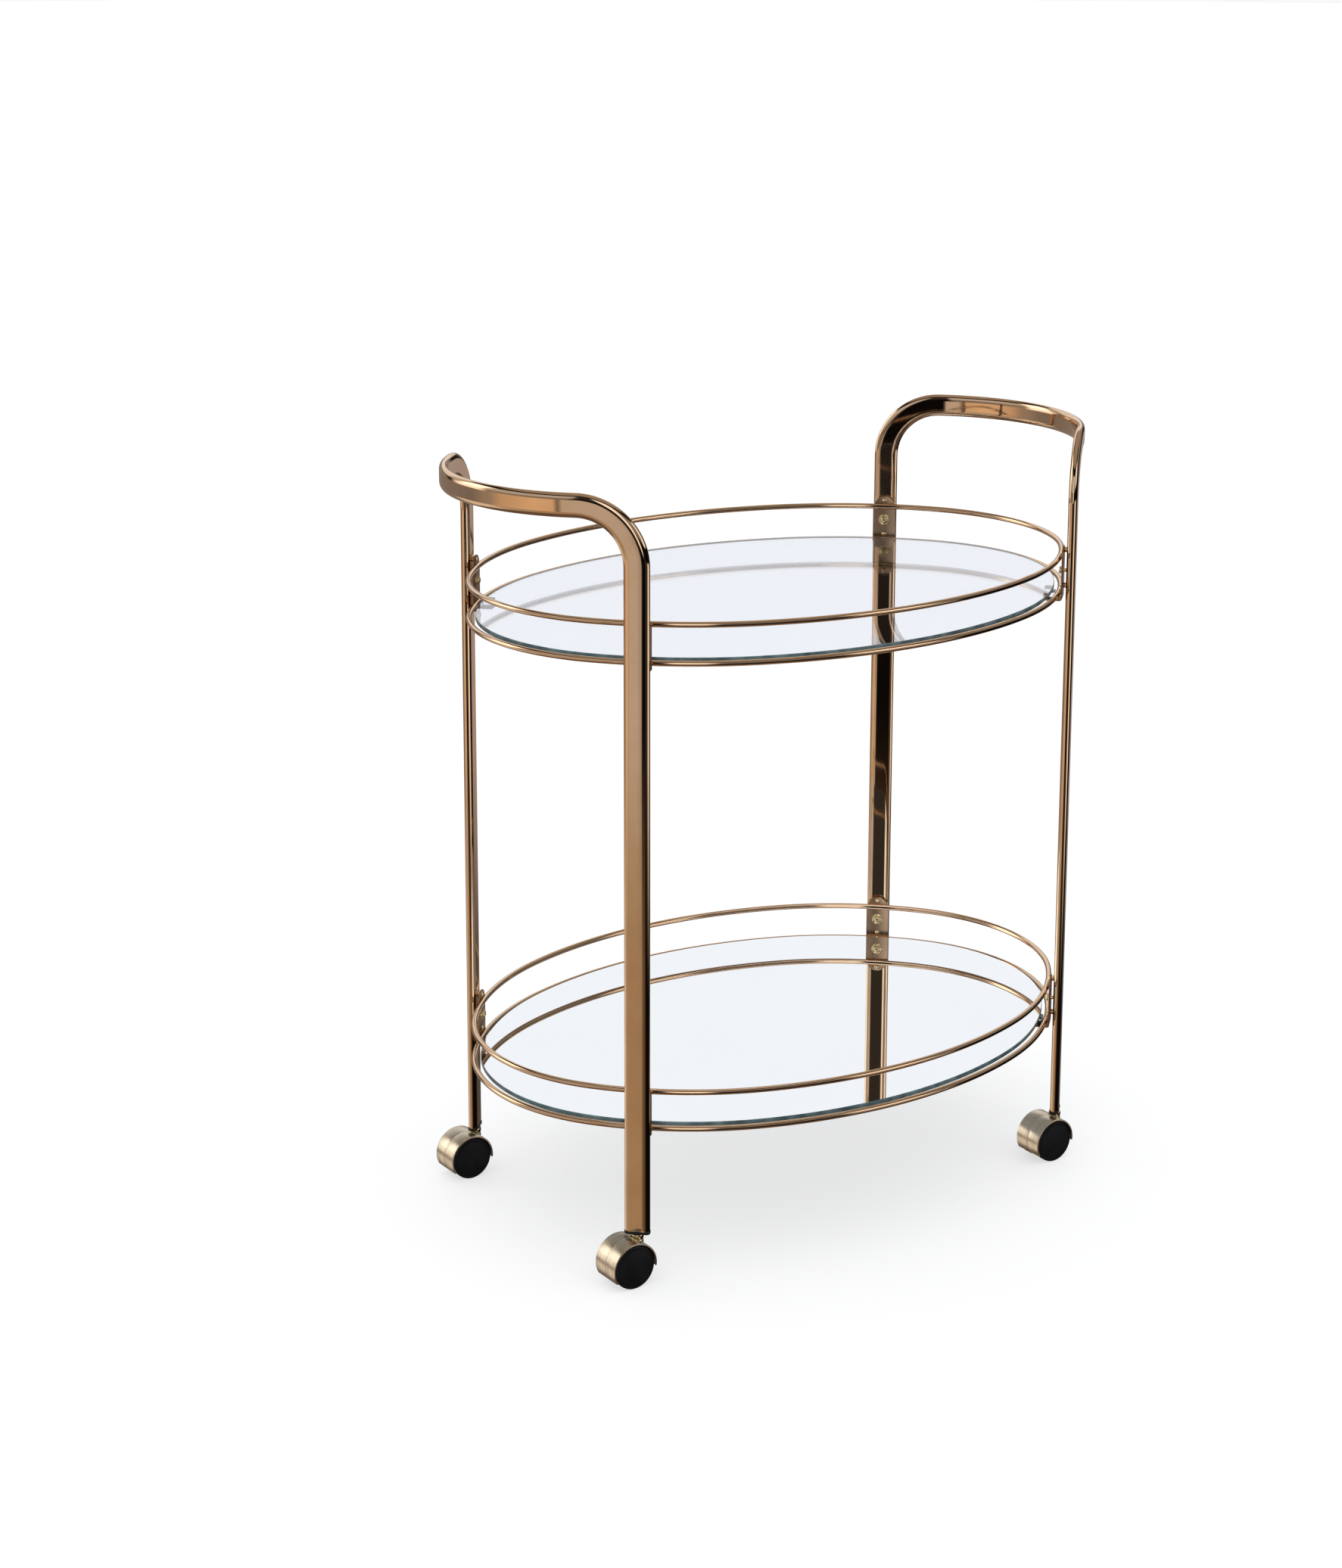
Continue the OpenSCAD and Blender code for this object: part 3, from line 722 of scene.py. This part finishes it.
def end_frame(name, node, left):
    """Both legs and the handle in one bent tube. The front half is the back half's mirror image."""
    half = half_path(leg_frame(2))
    full = half + flipped(half[-2::-1], 1)
    if left:
        full = flipped(full, 0)
    s = Shell()
    rows = []
    for p, w, n, share in full:
        width = TUBE_W - HANDLE_NARROWING * (share * share * (3 - 2 * share))
        outline = tube_outline(width, TUBE_T, *CORNER, CROWN)
        rows.append([(p + w * a + n * b) * MM for a, b in outline])
    s.grid(rows, wrap_cols=True)
    count = len(rows[0])
    # blind bore at both ends, where the plugs sit
    for p, w, n, _ in (full[0], full[-1]):
        bore = [[(p + w * a + n * b) * MM for a, b in tube_outline(TUBE_W, TUBE_T, *CORNER, CROWN)]]
        for depth in BORE_DEPTHS:
            q = p + Vector((0, 0, depth))
            bore.append([(q + w * a + n * b) * MM for a, b in tube_outline(*BORE)])
        first = s.grid(bore, wrap_cols=True)
        s.cap(first + (len(bore) - 1) * count, count)
    put(s.make(name, [champagne], sharp=50), "cart", "champagne_plate", node)


end_frame("end_frame_tube_right", "frame_right", False)
end_frame("end_frame_tube_left", "frame_left", True)


# ---------------------------------------------------------------- brackets
PLATE_T = 1.5
PLATE_X = 2.6 + PLATE_T / 2  # middle of the plate's thickness, outside the rod's centre
LIP_DROP = 9.5 - PLATE_T / 2  # middle of the lip's thickness, under the rod's centre
LIP_LENGTH, LIP_HALF, PLATE_HALF = 17.0, 11.0, 13.5
FOLD_R, TOP_ROUND, TOP_H = 2.4, 12.5, 40.4


def ribbon_row(c, normal, half_w, r=0.45):
    """Cross-section of the sheet-metal strip: c and normal are (x, z) in the leg's frame."""
    r = min(r, half_w * 0.45)
    t = PLATE_T / 2
    outline = rounded([(-half_w, -t, r), (half_w, -t, r), (half_w, t, r), (-half_w, t, r)], n=3)
    return [Vector((c[0] + normal[0] * b, a, c[1] + normal[1] * b)) for a, b in outline]


def bracket(name, k, z, node):
    """Plate on the leg side of the rods, with a lip folded in under the shelf."""
    f = mm(leg_frame(k))
    zl = z - LIP_DROP
    rows = []
    # lip, from its rounded free end towards the fold
    for d, half_w in ((0.0, 8.2), (0.5, 9.6), (1.4, 10.5), (2.8, LIP_HALF)):
        rows.append(ribbon_row((-LIP_LENGTH + d, zl), (0, 1), half_w))
    for x in (-10.0, -4.0, PLATE_X - FOLD_R):
        rows.append(ribbon_row((x, zl), (0, 1), LIP_HALF))
    for i in range(1, 7):
        a = math.pi / 2 * i / 6
        c = (PLATE_X - FOLD_R + FOLD_R * math.sin(a), zl + FOLD_R - FOLD_R * math.cos(a))
        half_w = LIP_HALF + (PLATE_HALF - LIP_HALF) * (i / 6) ** 2
        rows.append(ribbon_row(c, (-math.sin(a), math.cos(a)), half_w))
    for h in (2, 14, 26, 38.2):
        rows.append(ribbon_row((PLATE_X, z + h), (-1, 0), PLATE_HALF))
    top = z + TOP_H - 1
    rows.append(ribbon_row((PLATE_X, top - 0.4), (-1, 0), 13.2))
    for i in range(13):
        a = math.radians(2 + 86 * i / 12)
        half_w = max(TOP_ROUND * math.cos(a), 0.5)
        rows.append(ribbon_row((PLATE_X, top + TOP_ROUND * math.sin(a)), (-1, 0), half_w))
    s = Shell()
    s.tube([[f @ p for p in row] for row in rows])
    put(s.make(name, [champagne_plate], sharp=45), "cart", "champagne_plate", node)


for k, where in enumerate(POSITIONS):
    for tier, z in TIERS:
        bracket(f"bracket_plate_{tier}_{where}", k, z, f"bracket_{tier}_{where}")


# ---------------------------------------------------------------- studs, screws, washers and pads
ALONG_X = Matrix(((0, 0, 1, 0), (0, 1, 0, 0), (-1, 0, 0, 0), (0, 0, 0, 1)))  # lathe axis to +x
STUD_HEIGHTS, SCREW_HEIGHT = (6.6, 47.0), 23.7  # over the ring's centre
# profiles are (radius, distance outwards) in mm from the rod's centre
STUD = (
    [(0.0, 0.44)]
    + [(3.16 * math.sin(math.radians(d)), 3.6 - 3.16 * math.cos(math.radians(d))) for d in range(12, 72, 10)]
    + [(3.0, 2.6), (2.0, 2.6), (2.0, 4.1), (2.85, 4.1), (3.0, 4.3), (3.0, 7.35), (2.85, 7.6), (0.0, 7.6)]
)
SCREW = [
    (0.0, 0.3), (1.9, 0.3), (2.1, 0.1), (2.1, -1.05),  # socket
    (2.35, -1.22), (2.9, -1.16), (3.5, -0.75), (3.95, -0.05), (4.2, 0.9), (4.2, 1.45), (4.05, 1.6),  # head
    (2.0, 1.6), (2.0, 14.2), (1.7, 14.6), (0.0, 14.6),  # shank
]  # fmt: skip
SOCKET_ROWS = (1, 2, 3)
# (radius, distance, corner radius), with a raised rim on the visible side
WASHER = [
    (2.1, 1.6, 0.05), (4.2, 1.6, 0.05), (4.7, 2.05, 0.2), (5.7, 1.62, 0.5),
    (6.7, 2.1, 0.2), (6.7, 2.6, 0.1), (2.1, 2.6, 0.1),
]  # fmt: skip
PAD_X, PAD_DROP, PAD_HALF_W, PAD_HALF_L, PAD_R = -10.2, 8.0, 6, 9, 2
PAD_LAYERS = ((0.5, 0.0), (0.12, 0.15), (0.0, 0.5), (0.0, 7.0), (0.15, 7.4), (0.5, 7.55))  # (inset, height)


def socket_radius(k, a):
    """Share of the radius at row k and angle a that makes the screw's socket six-sided."""
    if k not in SOCKET_ROWS:
        return 1.0
    b = (a % (math.pi / 3)) - math.pi / 6
    return math.cos(math.pi / 6) / math.cos(b)


for tier, z in TIERS:
    studs, screws, washers, pads = Shell(), Shell(), Shell(), Shell()
    for k in range(4):
        f = leg_frame(k)
        for h in STUD_HEIGHTS:
            lathe(studs, STUD, mm(f @ Matrix.Translation((0, 0, z + h)) @ ALONG_X), 24)
        place = mm(f @ Matrix.Translation((0, 0, z + SCREW_HEIGHT)) @ ALONG_X)
        lathe(screws, SCREW, place, 24, radial=socket_radius)
        lathe(washers, rounded(WASHER, n=3), place, 40, close=True)
        corners = ((-1, -1), (1, -1), (1, 1), (-1, 1))
        pad = rounded([(sx * PAD_HALF_L, sy * PAD_HALF_W, PAD_R) for sx, sy in corners])
        base_f = mm(f @ Matrix.Translation((PAD_X, 0, z - PAD_DROP)))
        rows = []
        for inset, h in PAD_LAYERS:
            across, along = (PAD_HALF_W - inset) / PAD_HALF_W, (PAD_HALF_L - inset) / PAD_HALF_L
            rows.append([base_f @ Vector((y * across, x * along, h)) for x, y in pad])
        pads.tube(rows)
    put(studs.make(f"studs_{tier}", [stud_metal]), "cart", "champagne_plate", f"spacer_studs_{tier}")
    put(screws.make(f"socket_screws_{tier}", [fitting_brass]), "cart", "bright_brass", f"screws_{tier}")
    put(washers.make(f"flat_washers_{tier}", [fitting_brass]), "cart", "bright_brass", f"washers_{tier}")
    put(pads.make(f"silicone_pads_{tier}", [silicone]), "cart", "clear_silicone", f"clear_pads_{tier}")


# ---------------------------------------------------------------- plugs and casters
def plug(k, node):
    """Black plug in the tube's end: its lip shows, its bore takes the caster's pin."""
    f = mm(leg_frame(k) @ Matrix.Translation((LEG_OFFSET, 0, 0)))

    def ring(w, t, r, z):
        corners = [(-w / 2, -t / 2, r), (w / 2, -t / 2, r), (w / 2, t / 2, r), (-w / 2, t / 2, r)]
        return [f @ Vector((y, x, z)) for x, y in rounded(corners, n=5)]

    s = Shell()
    s.tube(
        [
            ring(6.1, 6.1, 3.0, LEG_END + 18.0),
            ring(6.1, 6.1, 3.0, LIP_Z),
            ring(26.2, 9.2, 3.6, LIP_Z),
            ring(27.2, 10.2, 4.1, LIP_Z + 0.3),
            ring(27.6, 10.6, 4.3, LIP_Z + 1.0),
            ring(27.6, 10.6, 4.3, LEG_END - 0.4),
            ring(27.3, 10.3, 4.15, LEG_END),
            ring(24.4, 7.4, 2.7, LEG_END),
            ring(24.4, 7.4, 2.7, LEG_END + 20.0),
            ring(23.2, 6.4, 2.3, LEG_END + 22.0),
        ]
    )
    put(s.make(f"plug_cap_{POSITIONS[k]}", [cap_plastic]), "cart", "black_plastic", node)


STEM = [  # (radius, height, corner radius): lower pin, collar, groove, flange and upper pin
    (0, 29, 0), (4.0, 29, 0.6), (4.0, 41, 0), (5.4, 41, 0.5), (6.5, 42.8, 1.0), (6.5, 46.0, 0.7),
    (5.6, 47.2, 0.4), (6.1, 48.3, 0.3), (6.7, 48.6, 0.3), (6.7, LIP_Z, 0.3), (3.0, LIP_Z, 0),
    (3.0, LIP_Z + 20, 0.5), (0, LIP_Z + 20, 0),
]  # fmt: skip
TRAIL, AXLE_Z = 14.0, 24.0  # axle behind the neck, and its height
HOOD_RI, HOOD_RO, HOOD_HALF, RIM_W, RIM_H = 25.3, 26.5, 18.2, 0.9, 0.6
HOOD_FROM, HOOD_SWEEP, HOOD_STEPS = -8, 217, 90  # degrees round the axle
GROOVE_HALF, GROOVE_DEPTH = 0.16, 0.14
NECK_HOLE_R = 7.5
WHEEL_Y = 7.3  # inner side of a wheel, from the middle of the caster
WHEEL_DOME = [(r, 11.9 - r * r / 320.0) for r in (18.6, 15.5, 12, 8, 4, 0)]
WHEEL = [  # (radius, distance outwards, corner radius): hub, web, tread and the groove round the dome
    (0, 9.5, 0), (3.05, 9.5, 0.2), (3.05, 0, 0.2), (8, 0, 0.4), (8, 4.5, 0.5), (19.5, 4.5, 0.5),
    (19.5, 0, 0.3), (24.0, 0, 2.6), (24.0, 10.7, 2.4), (20.75, 10.7, 0.3), (20.7, 10.0, 0.1),
    (20.2, 10.0, 0.1), (20.1, 10.62, 0.35),
]  # fmt: skip


def stem(k, node):
    """Turned neck under the leg."""
    s = Shell()
    lathe(s, rounded(STEM, closed=False), mm(caster_frame(k)), 40)
    put(s.make(f"caster_neck_{POSITIONS[k]}", [brass], sharp=35), "cart", "bright_brass", node)


def hood(k, node):
    """Shell round the wheels' top and back, with turned-in end rims and a centre groove, cut for the neck."""
    outer = [
        (HOOD_HALF, HOOD_RI - RIM_H, 0.12),
        (HOOD_HALF, HOOD_RO, 0.45),
        (GROOVE_HALF + 0.06, HOOD_RO, 0.05),
        (GROOVE_HALF, HOOD_RO - GROOVE_DEPTH, 0.04),
    ]
    inner = [(HOOD_HALF - RIM_W, HOOD_RI - RIM_H, 0.1), (HOOD_HALF - RIM_W, HOOD_RI, 0.1)]
    prof = rounded(
        [(-y, r, c) for y, r, c in outer]
        + outer[::-1]
        + inner
        + [(-y, r, c) for y, r, c in inner[::-1]],
        n=3,
    )
    f = mm(caster_frame(k) @ Matrix.Translation((-TRAIL, 0, AXLE_Z)))
    s = Shell()
    rows = []
    for i in range(HOOD_STEPS + 1):
        a = math.radians(HOOD_FROM + HOOD_SWEEP * i / HOOD_STEPS)
        rows.append([f @ Vector((r * math.cos(a), y, r * math.sin(a))) for y, r in prof])
    s.tube(rows)
    o = s.make(f"hood_shell_{POSITIONS[k]}", [brushed_hood], sharp=35)
    cutter = Shell()
    lathe(cutter, [(0, 20), (NECK_HOLE_R, 20), (NECK_HOLE_R, 60), (0, 60)], mm(caster_frame(k)), 48)
    c = cutter.make("cutter", [brushed_hood])
    mod = o.modifiers.new("hole", "BOOLEAN")
    mod.operation = "DIFFERENCE"
    mod.solver = "EXACT"
    mod.object = c
    dg = bpy.context.evaluated_depsgraph_get()
    mesh = bpy.data.meshes.new_from_object(o.evaluated_get(dg))
    o.modifiers.clear()
    old = o.data
    o.data = mesh
    bpy.data.meshes.remove(old)
    bpy.data.objects.remove(c)
    mesh.name = o.name
    mesh.set_sharp_from_angle(angle=math.radians(35))
    put(o, f"caster_{POSITIONS[k]}", "brushed_hood", node)


def wheel(k, sign, node):
    """One wheel with its domed cover, facing outwards."""
    s = Shell()
    f = caster_frame(k) @ Matrix.Translation((-TRAIL, sign * WHEEL_Y, AXLE_Z))
    f = f @ Matrix.Rotation(math.radians(-90 * sign), 4, "X")
    lathe(s, rounded(WHEEL, closed=False) + WHEEL_DOME, mm(f), 72)
    tag = "a" if sign < 0 else "b"
    o = s.make(f"wheel_disc_{POSITIONS[k]}_{tag}", [wheel_plastic], sharp=50)
    put(o, f"wheel_{POSITIONS[k]}_{tag}", "wheel_plastic", node)


for k, where in enumerate(POSITIONS):
    plug(k, f"plug_{where}")
    stem(k, f"stem_{where}")
    hood(k, f"hood_{where}")
    wheel(k, -1, f"wheel_{where}_a")
    wheel(k, 1, f"wheel_{where}_b")
    # hidden inside the caster: the CAD's own meshes, with materials of their own
    for node, mt in ((f"core_{where}", core_plastic), (f"axle_{where}", steel)):
        for slot_ in nodes[node].material_slots:
            slot_.material = mt
